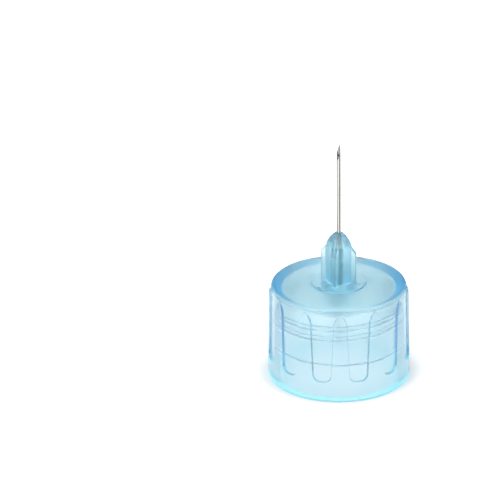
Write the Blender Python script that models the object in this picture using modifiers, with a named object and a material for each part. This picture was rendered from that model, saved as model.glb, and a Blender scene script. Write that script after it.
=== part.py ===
# Pen needle: a moulded hub that screws onto a pen, with a double-ended steel cannula glued in its post.
# Metres, +Z up along the cannula. The hub stands on its open rim, and its axis is the Z axis.

import math

import bmesh
import bpy
from mathutils import Matrix, Vector

MM = 0.001

# Socket: the inside of the skirt, which takes the pen
BORE_RADIUS = 4.95 * MM
COUNTERBORE_STEP = 0.20 * MM
COUNTERBORE_DEPTH = 3.12 * MM
STEP_HEIGHT = 0.07 * MM
MOUTH_CHAMFER = 0.10 * MM
CEILING_FILLET = 0.36 * MM

# Skirt: its walls stand round the socket, and its top plate closes it
SKIRT_HEIGHT = 8.50 * MM
NECK_WALL = 0.89 * MM
RIM_WALL = 1.09 * MM
PLATE_THICKNESS = 0.60 * MM
SHOULDER_DROP = 0.90 * MM
SHOULDER_BULGE = 0.05 * MM
TOP_EDGE_ROUNDING = 0.20 * MM
RIM_EDGE_ROUNDING = 0.30 * MM

# Internal thread
THREAD_PITCH = 0.90 * MM
THREAD_DEPTH = 0.30 * MM
THREAD_ROOT_WIDTH = 0.55 * MM
THREAD_CREST_WIDTH = 0.20 * MM
THREAD_TURNS = 2.125
THREAD_TOP_CLEARANCE = 0.79 * MM
THREAD_ROOT_OVERLAP = 0.15 * MM

# Grip: flutes sunk in the skirt leave one rib between each two
RIB_COUNT = 12
FLUTE_DEPTH = 0.20 * MM
NECK_LAND = 0.03 * MM
FLUTE_BOTTOM_HEIGHT = 1.85 * MM
FLUTE_CORNER_RADIUS = 0.65 * MM
FLUTE_CORNER_SWEEP = 78
RIB_WIDTH_TOP = 1.10 * MM
RIB_WIDTH_BOTTOM = 1.56 * MM
RIB_ARCH_HEIGHT = 1.10 * MM
RIB_TIP_DROP = 0.42 * MM

# Underside boss, which carries the back end of the cannula
BOSS_BASE_RADIUS = 1.50 * MM
BOSS_END_RADIUS = 0.66 * MM
BOSS_HEIGHT = 1.80 * MM

# Post on the top plate, with its raised disc, fins and lugs
DISC_RADIUS = 2.40 * MM
DISC_HEIGHT = 0.15 * MM
DISC_EDGE_ROUNDING = 0.06 * MM
POST_RADIUS = 1.16 * MM
POST_FLAT_DEPTH = 0.22 * MM
POST_HEIGHT = 4.75 * MM
POST_FOOT_FILLET = 0.12 * MM
NOSE_HEIGHT = 1.35 * MM
NOSE_TIP_RADIUS = 0.24 * MM
NOSE_BULGE = 0.165 * MM
FIN_COUNT = 4
FIN_RADIUS = 1.54 * MM
FIN_THICKNESS = 0.38 * MM
FIN_TOP_SLOPE = 0.45 * MM
FIN_TOP_INSET = 0.03 * MM
FIN_TURN = math.radians(-17)
LUG_COUNT = 3
LUG_RADIUS = 2.30 * MM
LUG_WIDTH = 0.50 * MM
LUG_HEIGHT = 0.09 * MM
LUG_TURN = math.radians(72)

# Cannula: one straight tube with a ground point at each end
CANNULA_RADIUS = 0.165 * MM
LUMEN_RADIUS = 0.09 * MM
CANNULA_REACH = 8.00 * MM
BACK_TIP_HEIGHT = 2.20 * MM
POINT_LENGTH = 1.30 * MM
LANCET_LENGTH = 0.60 * MM
LANCET_ROLL = math.radians(35)
BACK_POINT_LENGTH = 0.55 * MM
POINT_TURN = math.radians(-40)

# Glue well in the post
WELL_RADIUS = 0.25 * MM
WELL_DEPTH_IN_POST = 3.35 * MM
GLUE_LOW_END = 0.30 * MM
GLUE_DISH = 0.06 * MM
BORE_CLEARANCE = 0.015 * MM
GLUE_CLEARANCE = 0.015 * MM

# Facets
HUB_STEPS = 96
FINE_STEPS = 24
ARC_STEPS = 4

# Radii that follow
COUNTERBORE_RADIUS = BORE_RADIUS + COUNTERBORE_STEP
RIM_RADIUS = COUNTERBORE_RADIUS + RIM_WALL
NECK_RADIUS = BORE_RADIUS + NECK_WALL
SHOULDER_RADIUS = NECK_RADIUS + NECK_LAND + FLUTE_DEPTH

# Heights that follow
CEILING_Z = SKIRT_HEIGHT - PLATE_THICKNESS
BOSS_END_Z = CEILING_Z - BOSS_HEIGHT
DISC_TOP_Z = SKIRT_HEIGHT + DISC_HEIGHT
NOSE_TOP_Z = SKIRT_HEIGHT + POST_HEIGHT
NOSE_BASE_Z = NOSE_TOP_Z - NOSE_HEIGHT
TIP_Z = NOSE_TOP_Z + CANNULA_REACH
WELL_TOP_Z = SKIRT_HEIGHT + WELL_DEPTH_IN_POST
MARGIN = 0.20 * MM


def remove_everything():
    for old in list(bpy.data.objects):
        bpy.data.objects.remove(old, do_unlink=True)


def new_collection(name):
    collection = bpy.data.collections.new(name)
    bpy.context.scene.collection.children.link(collection)
    return collection


def add_object(name, mesh, collection):
    piece = bpy.data.objects.new(name, mesh)
    collection.objects.link(piece)
    return piece


def hide_cutter(cutter):
    cutter.hide_render = True
    cutter.display_type = 'WIRE'


def arc(centre, radius, start_deg, end_deg, steps=ARC_STEPS):
    """Points on a circle about centre, from one angle to the other, in degrees."""
    points = []
    for i in range(steps + 1):
        angle = math.radians(start_deg + (end_deg - start_deg) * i / steps)
        points.append((centre[0] + radius * math.cos(angle), centre[1] + radius * math.sin(angle)))
    return points


def bulged(start, end, bulge, steps=ARC_STEPS * 2):
    """Points on a shallow curve from start to end that stands out from the chord by bulge."""
    chord = Vector((end[0] - start[0], end[1] - start[1]))
    outward = Vector((-chord.y, chord.x)).normalized()
    points = []
    for i in range(steps + 1):
        share = i / steps
        rise = 4 * bulge * share * (1 - share)
        points.append((start[0] + chord.x * share + outward.x * rise,
                       start[1] + chord.y * share + outward.y * rise))
    return points


def turned(name, profile, steps, collection, closed=False):
    """A profile of (radius, height) points, swept once round the Z axis from half a facet off +X."""
    start = math.pi / steps
    mesh = bpy.data.meshes.new(name)
    edges = [(i, i + 1) for i in range(len(profile) - 1)]
    if closed:
        edges.append((len(profile) - 1, 0))
    mesh.from_pydata([(r * math.cos(start), r * math.sin(start), z) for r, z in profile], edges, [])
    piece = add_object(name, mesh, collection)
    screw = piece.modifiers.new("turn", 'SCREW')
    screw.axis = 'Z'
    screw.angle = 2 * math.pi
    screw.steps = steps
    screw.render_steps = steps
    screw.use_merge_vertices = True
    screw.merge_threshold = 1e-7
    screw.use_smooth_shade = True
    return piece


def evaluated_mesh(piece):
    """The mesh of a piece with its modifiers, or a curve's surface with its caps welded on."""
    depsgraph = bpy.context.evaluated_depsgraph_get()
    mesh = bpy.data.meshes.new_from_object(piece.evaluated_get(depsgraph))
    mesh.transform(piece.matrix_world)
    bm = bmesh.new()
    bm.from_mesh(mesh)
    bmesh.ops.remove_doubles(bm, verts=bm.verts, dist=1e-7)
    bm.to_mesh(mesh)
    bm.free()
    return mesh


def plate(name, outline, thickness, matrix, count, collection):
    """A flat outline given a thickness, placed by matrix and repeated count times about the Z axis."""
    curve = bpy.data.curves.new(name, 'CURVE')
    curve.dimensions = '2D'
    curve.fill_mode = 'BOTH'
    curve.extrude = thickness / 2
    spline = curve.splines.new('POLY')
    spline.points.add(len(outline) - 1)
    for point, (x, y) in zip(spline.points, outline):
        point.co = (x, y, 0, 1)
    spline.use_cyclic_u = True
    sketch = add_object(name + "_outline", curve, collection)
    sketch.matrix_world = matrix
    bpy.context.view_layer.update()
    single = evaluated_mesh(sketch)
    bpy.data.objects.remove(sketch, do_unlink=True)
    bm = bmesh.new()
    for i in range(count):
        first = len(bm.verts)
        bm.from_mesh(single)
        bm.verts.ensure_lookup_table()
        turn = Matrix.Rotation(2 * math.pi * i / count, 3, 'Z')
        bmesh.ops.rotate(bm, verts=bm.verts[first:], cent=(0, 0, 0), matrix=turn)
    bmesh.ops.recalc_face_normals(bm, faces=bm.faces)
    mesh = bpy.data.meshes.new(name)
    bm.to_mesh(mesh)
    bm.free()
    piece = add_object(name, mesh, collection)
    hide_cutter(piece)
    return piece


def rod(name, radius, low, high, collection):
    """A round cutter along the Z axis."""
    mesh = bpy.data.meshes.new(name)
    bm = bmesh.new()
    place = Matrix.Translation((0, 0, (low + high) / 2))
    bmesh.ops.create_cone(bm, cap_ends=True, segments=FINE_STEPS, radius1=radius, radius2=radius,
                          depth=high - low, matrix=place)
    bm.to_mesh(mesh)
    bm.free()
    piece = add_object(name, mesh, collection)
    hide_cutter(piece)
    return piece


def make_plain(piece):
    """Swap a piece's modifiers for the mesh that they make, with its place in the mesh."""
    bpy.context.view_layer.update()
    mesh = evaluated_mesh(piece)
    piece.modifiers.clear()
    piece.data = mesh
    piece.matrix_world = Matrix.Identity(4)


def combine(piece, other, operation):
    """Cuts or joins piece with other. The result is welded at once, so that the next cut finds it closed."""
    step = piece.modifiers.new(other.name, 'BOOLEAN')
    step.operation = operation
    step.solver = 'EXACT'
    step.object = other
    make_plain(piece)


def finish_surface(piece, name, colour, roughness, metallic, transmission):
    """Shades a piece smooth with its edges sharp, and gives it its material."""
    piece.data.shade_smooth()
    piece.data.set_sharp_from_angle(angle=math.radians(30))
    material = bpy.data.materials.new(name)
    material.use_nodes = True
    shader = material.node_tree.nodes["Principled BSDF"]
    shader.inputs["Base Color"].default_value = (*colour, 1)
    shader.inputs["Roughness"].default_value = roughness
    shader.inputs["Metallic"].default_value = metallic
    shader.inputs["Transmission Weight"].default_value = transmission
    piece.data.materials.clear()
    piece.data.materials.append(material)


def radial_frame(turn, radius):
    """Places an outline square to a radius: X of the outline runs round the part, Y runs up."""
    axes = Matrix(((0, 0, 1, radius), (1, 0, 0, 0), (0, 1, 0, 0), (0, 0, 0, 1)))
    return Matrix.Rotation(turn, 4, 'Z') @ axes


def upright_frame(turn):
    """Places an outline on a radius: X of the outline runs outwards, Y runs up."""
    axes = Matrix(((1, 0, 0, 0), (0, 0, -1, 0), (0, 1, 0, 0), (0, 0, 0, 1)))
    return Matrix.Rotation(turn - math.pi / 2, 4, 'Z') @ axes


# Hub, solid of revolution: top plate, skirt, socket and boss

def hub_profile():
    neck_z = SKIRT_HEIGHT - TOP_EDGE_ROUNDING
    shoulder_z = SKIRT_HEIGHT - SHOULDER_DROP
    step_z = COUNTERBORE_DEPTH + STEP_HEIGHT
    points = [(0, DISC_TOP_Z)]
    disc_edge = (DISC_RADIUS - DISC_EDGE_ROUNDING, DISC_TOP_Z - DISC_EDGE_ROUNDING)
    points += arc(disc_edge, DISC_EDGE_ROUNDING, 90, 0, 2)
    points.append((DISC_RADIUS, SKIRT_HEIGHT))
    points += arc((NECK_RADIUS - TOP_EDGE_ROUNDING, neck_z), TOP_EDGE_ROUNDING, 90, 0)
    shoulder = (SHOULDER_RADIUS, shoulder_z)
    points += bulged((NECK_RADIUS, neck_z), shoulder, SHOULDER_BULGE, ARC_STEPS)[1:]
    rim = (RIM_RADIUS - RIM_EDGE_ROUNDING, RIM_EDGE_ROUNDING)
    points += arc(rim, RIM_EDGE_ROUNDING, 0, -90, 3)
    points.append((COUNTERBORE_RADIUS + MOUTH_CHAMFER, 0))
    points.append((COUNTERBORE_RADIUS, MOUTH_CHAMFER))
    points.append((COUNTERBORE_RADIUS, COUNTERBORE_DEPTH))
    points.append((BORE_RADIUS, step_z))
    points += arc((BORE_RADIUS - CEILING_FILLET, CEILING_Z - CEILING_FILLET), CEILING_FILLET, 0, 90)
    points.append((BOSS_BASE_RADIUS, CEILING_Z))
    points.append((BOSS_END_RADIUS, BOSS_END_Z))
    points.append((0, BOSS_END_Z))
    return points


# Flutes: a ring sunk round the skirt, kept clear of one pointed rib shape after another

def rib_outline():
    half_flute = RIM_RADIUS * math.sin(math.pi / RIB_COUNT) - RIB_WIDTH_BOTTOM / 2
    corner = min(FLUTE_CORNER_RADIUS, half_flute - MARGIN / 4)
    tip_z = SKIRT_HEIGHT - RIB_TIP_DROP
    arch_z = tip_z - RIB_ARCH_HEIGHT
    half_top = RIB_WIDTH_TOP / 2
    low_corner = (RIB_WIDTH_BOTTOM / 2 + corner, FLUTE_BOTTOM_HEIGHT + corner)
    right = arc(low_corner, corner, 180 + FLUTE_CORNER_SWEEP, 180)
    right.insert(0, (right[0][0], FLUTE_BOTTOM_HEIGHT - MARGIN))
    arch_radius = (half_top ** 2 + RIB_ARCH_HEIGHT ** 2) / (2 * half_top)
    arch_sweep = math.degrees(math.asin(RIB_ARCH_HEIGHT / arch_radius))
    right += arc((half_top - arch_radius, arch_z), arch_radius, 0, arch_sweep, ARC_STEPS + 2)
    left = [(-x, z) for x, z in reversed(right[:-1])]
    return right + left


def add_flutes(hub, cutters):
    top_z = SKIRT_HEIGHT + MARGIN
    shoulder_z = SKIRT_HEIGHT - SHOULDER_DROP
    draft = (RIM_RADIUS - SHOULDER_RADIUS) / shoulder_z
    floor_top = SHOULDER_RADIUS - FLUTE_DEPTH
    floor_low = floor_top + draft * (shoulder_z - FLUTE_BOTTOM_HEIGHT)
    outside = RIM_RADIUS + MARGIN
    ring_profile = [(outside, top_z), (outside, FLUTE_BOTTOM_HEIGHT), (floor_low, FLUTE_BOTTOM_HEIGHT),
                    (floor_top, shoulder_z), (floor_top, top_z)]
    ring = turned("flute_ring", ring_profile, HUB_STEPS, cutters, closed=True)
    inner_face = NECK_RADIUS * math.cos(math.pi / RIB_COUNT) - MARGIN
    outer_face = outside + MARGIN
    place = radial_frame(-math.pi / 2, (inner_face + outer_face) / 2)
    ribs = plate("rib_shapes", rib_outline(), outer_face - inner_face, place, RIB_COUNT, cutters)
    combine(ring, ribs, 'DIFFERENCE')
    hide_cutter(ring)
    combine(hub, ring, 'DIFFERENCE')


# Post with its flats, fins and lugs

def add_post(hub, cutters):
    """The post and its nose. It has a flat between each two fins, and grows round again up the nose."""
    foot = (POST_RADIUS + POST_FOOT_FILLET, DISC_TOP_Z + POST_FOOT_FILLET)
    profile = bulged((NOSE_TIP_RADIUS, NOSE_TOP_Z), (POST_RADIUS, NOSE_BASE_Z), NOSE_BULGE)
    profile += arc(foot, POST_FOOT_FILLET, 180, 270, 2)
    profile.append((foot[0], SKIRT_HEIGHT - PLATE_THICKNESS / 2))
    flat_share = 1 - POST_FLAT_DEPTH / POST_RADIUS
    sector = 2 * math.pi / FIN_COUNT
    corners = []
    for radius, height in profile:
        roundness = max(height - NOSE_BASE_Z, 0) / NOSE_HEIGHT
        for i in range(HUB_STEPS):
            angle = 2 * math.pi * (i + 0.5) / HUB_STEPS
            from_flat = angle % sector - sector / 2
            narrowed = min(flat_share / math.cos(from_flat), 1)
            reach = radius * (narrowed + (1 - narrowed) * roundness)
            turn = angle + FIN_TURN
            corners.append((reach * math.cos(turn), reach * math.sin(turn), height))
    faces = [list(range(HUB_STEPS))]
    for first in range(0, len(corners) - HUB_STEPS, HUB_STEPS):
        for i in range(HUB_STEPS):
            j = (i + 1) % HUB_STEPS
            faces.append([first + i, first + i + HUB_STEPS, first + j + HUB_STEPS, first + j])
    faces.append(list(range(len(corners) - 1, len(corners) - HUB_STEPS - 1, -1)))
    mesh = bpy.data.meshes.new("post")
    mesh.from_pydata(corners, [], faces)
    post = add_object("post", mesh, cutters)
    hide_cutter(post)
    combine(hub, post, 'UNION')


def add_fins(hub, cutters):
    root = POST_RADIUS / 2
    low = SKIRT_HEIGHT - PLATE_THICKNESS / 2
    seat = POST_RADIUS - FIN_TOP_INSET
    top = NOSE_BASE_Z - FIN_TOP_INSET
    outline = [(root, low), (FIN_RADIUS, low), (FIN_RADIUS, top - FIN_TOP_SLOPE), (seat, top), (root, top)]
    fins = plate("fins", outline, FIN_THICKNESS, upright_frame(FIN_TURN), FIN_COUNT, cutters)
    combine(hub, fins, 'UNION')


def add_lugs(hub, cutters):
    root = POST_RADIUS / 2
    low = SKIRT_HEIGHT - PLATE_THICKNESS / 3
    top = DISC_TOP_Z + LUG_HEIGHT
    chamfer = LUG_HEIGHT / 2
    outline = [(root, low), (LUG_RADIUS, low), (LUG_RADIUS, top - chamfer),
               (LUG_RADIUS - chamfer, top), (root, top)]
    lugs = plate("lugs", outline, LUG_WIDTH, upright_frame(LUG_TURN), LUG_COUNT, cutters)
    combine(hub, lugs, 'UNION')


# Thread: a ridge that climbs the wall of the socket

def add_thread(hub, cutters):
    rise = THREAD_PITCH * THREAD_TURNS
    low = CEILING_Z - THREAD_TOP_CLEARANCE - THREAD_ROOT_WIDTH / 2 - rise
    buried = BORE_RADIUS + THREAD_ROOT_OVERLAP
    crest = BORE_RADIUS - THREAD_DEPTH
    flank = (THREAD_ROOT_WIDTH - THREAD_CREST_WIDTH) / 2 / THREAD_DEPTH
    half_crest = THREAD_CREST_WIDTH / 2
    half_buried = half_crest + flank * (buried - crest)
    profile = [(buried, low - half_buried), (crest, low - half_crest), (crest, low + half_crest),
               (buried, low + half_buried)]
    sweep = turned("thread_sweep", profile, round(HUB_STEPS * THREAD_TURNS), cutters, closed=True)
    screw = sweep.modifiers["turn"]
    screw.angle = 2 * math.pi * THREAD_TURNS
    screw.screw_offset = rise
    screw.use_merge_vertices = False
    bpy.context.view_layer.update()
    mesh = evaluated_mesh(sweep)
    bpy.data.objects.remove(sweep, do_unlink=True)
    bm = bmesh.new()
    bm.from_mesh(mesh)
    bmesh.ops.holes_fill(bm, edges=bm.edges, sides=0)
    bmesh.ops.recalc_face_normals(bm, faces=bm.faces)
    bm.to_mesh(mesh)
    bm.free()
    thread = add_object("thread", mesh, cutters)
    hide_cutter(thread)
    combine(hub, thread, 'UNION')


def make_hub(parts, cutters):
    hub = turned("hub", hub_profile(), HUB_STEPS, parts)
    add_flutes(hub, cutters)
    add_post(hub, cutters)
    add_fins(hub, cutters)
    add_lugs(hub, cutters)
    add_thread(hub, cutters)
    nose_bore = rod("nose_bore", CANNULA_RADIUS + BORE_CLEARANCE, WELL_TOP_Z - MARGIN,
                    NOSE_TOP_Z + MARGIN, cutters)
    well = rod("well", WELL_RADIUS, BOSS_END_Z - MARGIN, WELL_TOP_Z, cutters)
    combine(hub, well, 'DIFFERENCE')
    combine(hub, nose_bore, 'DIFFERENCE')
    finish_surface(hub, "clear_blue_polypropylene", (0.30, 0.66, 0.83), 0.22, 0.0, 0.85)
    return hub


# Adhesive: the cured column between the cannula and the well

def make_adhesive(parts, cutters):
    radius = WELL_RADIUS - GLUE_CLEARANCE
    top = WELL_TOP_Z - GLUE_CLEARANCE
    low = SKIRT_HEIGHT - GLUE_LOW_END
    shoulder = radius - GLUE_DISH / 2
    profile = [(0, top), (shoulder, top), (radius, top - GLUE_DISH / 2), (radius, low),
               (shoulder, low + GLUE_DISH), (0, low + GLUE_DISH)]
    adhesive = turned("adhesive", profile, FINE_STEPS, parts)
    passage = rod("cannula_passage", CANNULA_RADIUS + GLUE_CLEARANCE, low - MARGIN, top + MARGIN, cutters)
    combine(adhesive, passage, 'DIFFERENCE')
    finish_surface(adhesive, "cured_adhesive", (0.36, 0.58, 0.60), 0.45, 0.0, 0.3)
    return adhesive


# Cannula: a drawn tube with a lancet point in front and a plain bevel at the back

def half_space(name, point, normal, size, collection):
    """A cube that fills one side of the plane through point, on the side that normal points to."""
    mesh = bpy.data.meshes.new(name)
    bm = bmesh.new()
    turn = Vector((0, 0, 1)).rotation_difference(normal).to_matrix().to_4x4()
    place = Matrix.Translation(point) @ turn @ Matrix.Translation((0, 0, size / 2))
    bmesh.ops.create_cube(bm, size=size, matrix=place)
    bm.to_mesh(mesh)
    bm.free()
    piece = add_object(name, mesh, collection)
    hide_cutter(piece)
    return piece


def make_cannula(parts, cutters):
    profile = [(CANNULA_RADIUS, TIP_Z), (CANNULA_RADIUS, BACK_TIP_HEIGHT), (LUMEN_RADIUS, BACK_TIP_HEIGHT),
               (LUMEN_RADIUS, TIP_Z)]
    cannula = turned("cannula", profile, FINE_STEPS, parts, closed=True)
    turn = Matrix.Rotation(POINT_TURN, 3, 'Z')
    facing = turn @ Vector((0, -1, 0))
    tip = Vector((0, 0, TIP_Z)) - facing * CANNULA_RADIUS
    size = 4 * POINT_LENGTH
    slope = facing * POINT_LENGTH + Vector((0, 0, 2 * CANNULA_RADIUS))
    combine(cannula, half_space("point_bevel", tip, slope.normalized(), size, cutters), 'DIFFERENCE')
    share = LANCET_LENGTH / POINT_LENGTH
    along = (2 * share - 1) * CANNULA_RADIUS
    across = math.sqrt(CANNULA_RADIUS ** 2 - along ** 2)
    for side in (1, -1):
        inward = (along + CANNULA_RADIUS) * math.cos(LANCET_ROLL) + across * math.sin(LANCET_ROLL)
        pitch = math.atan2(inward, LANCET_LENGTH)
        level = Matrix.Rotation(side * LANCET_ROLL, 3, 'Z') @ facing
        normal = level * math.cos(pitch) + Vector((0, 0, math.sin(pitch)))
        facet = half_space(f"lancet_facet_{side}", tip, normal, size, cutters)
        combine(cannula, facet, 'DIFFERENCE')
    back_tip = Vector((0, 0, BACK_TIP_HEIGHT)) - facing * CANNULA_RADIUS
    slope = facing * BACK_POINT_LENGTH - Vector((0, 0, 2 * CANNULA_RADIUS))
    combine(cannula, half_space("back_bevel", back_tip, slope.normalized(), size, cutters), 'DIFFERENCE')
    finish_surface(cannula, "stainless_steel", (0.72, 0.72, 0.70), 0.22, 1.0, 0.0)
    return cannula


remove_everything()
part_collection = new_collection("pen_needle")
cutter_collection = new_collection("cutters")
make_hub(part_collection, cutter_collection)
make_adhesive(part_collection, cutter_collection)
make_cannula(part_collection, cutter_collection)
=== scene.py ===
# Pen needle, dressed for its picture: a clear blue moulded hub with a steel needle glued in its post.
# The CAD solids give the sizes; here the hub gets its fine moulded surface and every piece its finish.

import math

import bmesh
import bpy
from mathutils import Matrix, Vector
from mathutils.geometry import delaunay_2d_cdt


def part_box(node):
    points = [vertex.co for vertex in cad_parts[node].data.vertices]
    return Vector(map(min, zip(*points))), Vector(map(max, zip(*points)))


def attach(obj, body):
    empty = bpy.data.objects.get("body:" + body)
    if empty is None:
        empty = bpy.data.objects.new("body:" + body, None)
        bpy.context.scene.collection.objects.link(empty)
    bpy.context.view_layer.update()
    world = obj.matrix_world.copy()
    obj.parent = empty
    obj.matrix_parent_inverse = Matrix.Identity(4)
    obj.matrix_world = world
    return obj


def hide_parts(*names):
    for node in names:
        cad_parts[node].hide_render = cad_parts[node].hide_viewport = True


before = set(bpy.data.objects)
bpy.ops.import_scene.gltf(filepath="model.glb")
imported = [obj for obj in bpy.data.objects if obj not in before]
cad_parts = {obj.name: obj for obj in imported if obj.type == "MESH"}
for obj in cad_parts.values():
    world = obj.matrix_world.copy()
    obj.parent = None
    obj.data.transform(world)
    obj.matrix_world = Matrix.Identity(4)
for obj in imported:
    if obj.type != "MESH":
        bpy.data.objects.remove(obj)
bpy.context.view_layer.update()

# Camera: a long lens far off, a little above the top of the hub, as the photograph was taken.
# The needle stands right of the middle, so the camera points left of it and needs no shift.
MM = 0.001
CAMERA_DISTANCE = 200 * MM
CAMERA_TARGET_HEIGHT = 6 * MM
CAMERA_ELEVATION = math.radians(25.4)
CAMERA_AZIMUTH = math.radians(-1.3)
SENSOR_WIDTH = 36
FOCAL_PIXELS = 2295
FRAME_PIXELS = 500
TARGET_PIXEL = (338.7, 308.4)

target = Vector((0, 0, CAMERA_TARGET_HEIGHT))
toward_camera = Vector((
    math.sin(CAMERA_AZIMUTH) * math.cos(CAMERA_ELEVATION),
    -math.cos(CAMERA_AZIMUTH) * math.cos(CAMERA_ELEVATION),
    math.sin(CAMERA_ELEVATION)))
camera_data = bpy.data.cameras.new("camera")
camera_data.sensor_width = SENSOR_WIDTH
camera_data.lens = FOCAL_PIXELS / FRAME_PIXELS * SENSOR_WIDTH
camera_data.clip_start = 0.01
camera_data.clip_end = 10
camera = bpy.data.objects.new("camera", camera_data)
bpy.context.scene.collection.objects.link(camera)
straight = (-toward_camera).to_track_quat('-Z', 'Y').to_matrix()
across = math.atan((TARGET_PIXEL[0] - FRAME_PIXELS / 2) / FOCAL_PIXELS)
down = math.atan((TARGET_PIXEL[1] - FRAME_PIXELS / 2) / FOCAL_PIXELS)
aimed = straight @ Matrix.Rotation(across, 3, 'Y') @ Matrix.Rotation(down, 3, 'X')
camera.matrix_world = Matrix.Translation(target + toward_camera * CAMERA_DISTANCE) @ aimed.to_4x4()
bpy.context.scene.camera = camera


def linear(hex_colour):
    """An sRGB hex colour as linear RGBA."""
    channels = [int(hex_colour[i:i + 2], 16) / 255 for i in (0, 2, 4)]
    return tuple(c / 12.92 if c <= 0.04045 else ((c + 0.055) / 1.055) ** 2.4 for c in channels) + (1.0,)


def add_node(tree, kind, inputs=(), **settings):
    """A node with its settings, and its inputs set to values or linked to sockets."""
    node = tree.nodes.new(kind)
    for name, value in settings.items():
        setattr(node, name, value)
    for name, value in dict(inputs).items():
        if isinstance(value, bpy.types.NodeSocket):
            tree.links.new(value, node.inputs[name])
        else:
            node.inputs[name].default_value = value
    return node


def new_material(name):
    material = bpy.data.materials.new(name)
    material.use_nodes = True
    material.node_tree.nodes.clear()
    return material


def seen_or_mirrored(tree):
    """A socket that is 1 for the camera's rays and for those that gloss and glass send on, 0 for others."""
    path = add_node(tree, "ShaderNodeLightPath").outputs
    seen = add_node(tree, "ShaderNodeMath", {0: path["Is Camera Ray"], 1: path["Is Glossy Ray"]},
                    operation='MAXIMUM')
    seen = add_node(tree, "ShaderNodeMath", {0: seen.outputs[0], 1: path["Is Transmission Ray"]},
                    operation='MAXIMUM')
    return seen.outputs[0]


# World and floor: pale paper and soft white light from all round, as in a light tent.
# The camera, gloss and glass see plain white. Under the hub they also see light painted on the paper as a
# glow, which stands for the light that comes down through the clear wall: a painted blue pool under the rim,
# and a painted shadow where they touch.
ROOM_STRENGTH = 0.72
WHITE_STRENGTH = 1.0
world = bpy.data.worlds.new("light_tent")
bpy.context.scene.world = world
world.use_nodes = True
tree = world.node_tree
tree.nodes.clear()
room = add_node(tree, "ShaderNodeBackground", {"Color": linear("FFFFFF"), "Strength": ROOM_STRENGTH})
white = add_node(tree, "ShaderNodeBackground", {"Color": linear("FFFFFF"), "Strength": WHITE_STRENGTH})
mixed = add_node(tree, "ShaderNodeMixShader", {
    0: seen_or_mirrored(tree), 1: room.outputs[0], 2: white.outputs[0]})
add_node(tree, "ShaderNodeOutputWorld", {"Surface": mixed.outputs[0]})

# The painted light and shadow on the paper as a linear colour, by distance from the hub's axis in
# millimetres
GLOW_REACH = 10
PAINTED_LIGHT_AND_SHADOW = ((4.85, (0.30, 0.30, 0.31)), (5.0, (0.15, 0.64, 0.64)), (5.3, (0.15, 0.64, 0.64)),
              (5.5, (0.04, 0.32, 0.36)), (6.15, (0.00, 0.16, 0.22)), (6.4, (0.08, 0.09, 0.10)),
              (8.0, (0.38, 0.38, 0.38)))
FLOOR_WIDTH = 2.0
bpy.ops.mesh.primitive_plane_add(size=FLOOR_WIDTH, location=(0, 0, 0))
floor = bpy.context.object
floor.name = "floor"
paper = new_material("white_paper")
tree = paper.node_tree
place = add_node(tree, "ShaderNodeTexCoord")
from_hub = add_node(tree, "ShaderNodeVectorMath", {0: place.outputs["Object"]}, operation='LENGTH')
share = add_node(tree, "ShaderNodeMath", {0: from_hub.outputs["Value"], 1: 1 / (GLOW_REACH * MM)},
                 operation='MULTIPLY')
painted_light_ramp = add_node(tree, "ShaderNodeValToRGB", {"Fac": share.outputs[0]})
ramp = painted_light_ramp.color_ramp
ramp.elements.remove(ramp.elements[1])
for number, (millimetres, shade) in enumerate(PAINTED_LIGHT_AND_SHADOW):
    stop = ramp.elements[0] if number == 0 else ramp.elements.new(millimetres / GLOW_REACH)
    stop.position = millimetres / GLOW_REACH
    stop.color = shade + (1,)
matte = add_node(tree, "ShaderNodeBsdfDiffuse", {"Color": linear("F4F4F4")})
# The paper glows with this painted light and shadow, which only the camera, gloss and glass see.
light = add_node(tree, "ShaderNodeEmission", {
    "Color": painted_light_ramp.outputs["Color"], "Strength": seen_or_mirrored(tree)})
both = add_node(tree, "ShaderNodeAddShader", {0: matte.outputs[0], 1: light.outputs[0]})
add_node(tree, "ShaderNodeOutputMaterial", {"Surface": both.outputs[0]})
floor.data.materials.append(paper)

# Flags: curved grey cards round the needle, seen only where something mirrors them. They give the bright
# tube a grey left edge and a dark right one, and the gaps between them leave bright streaks elsewhere on it.
FLAG_RADIUS = 20 * MM
FLAG_HEIGHT = 22 * MM
FLAG_STEPS = 24
for name, first, last, shade in (
        ("right_flag", 50, 106, "363636"), ("right_back_flag", 124, 168, "363636"),
        ("left_flag", -118, -68, "5C5C5C"), ("left_back_flag", -168, -136, "5C5C5C")):
    card = bmesh.new()
    bottom, top = [], []
    for step in range(FLAG_STEPS + 1):
        turn = CAMERA_AZIMUTH + math.radians(first + (last - first) * step / FLAG_STEPS)
        x, y = FLAG_RADIUS * math.sin(turn), -FLAG_RADIUS * math.cos(turn)
        bottom.append(card.verts.new((x, y, 0.0)))
        top.append(card.verts.new((x, y, FLAG_HEIGHT)))
    for step in range(FLAG_STEPS):
        card.faces.new((bottom[step], bottom[step + 1], top[step + 1], top[step]))
    mesh = bpy.data.meshes.new(name)
    card.to_mesh(mesh)
    card.free()
    flag = bpy.data.objects.new(name, mesh)
    bpy.context.scene.collection.objects.link(flag)
    flag_card = new_material(name + "_card")
    dull = add_node(flag_card.node_tree, "ShaderNodeBsdfDiffuse", {"Color": linear(shade)})
    add_node(flag_card.node_tree, "ShaderNodeOutputMaterial", {"Surface": dull.outputs[0]})
    mesh.materials.append(flag_card)
    flag.visible_camera = False
    flag.visible_diffuse = False
    flag.visible_transmission = False
    flag.visible_shadow = False

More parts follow.
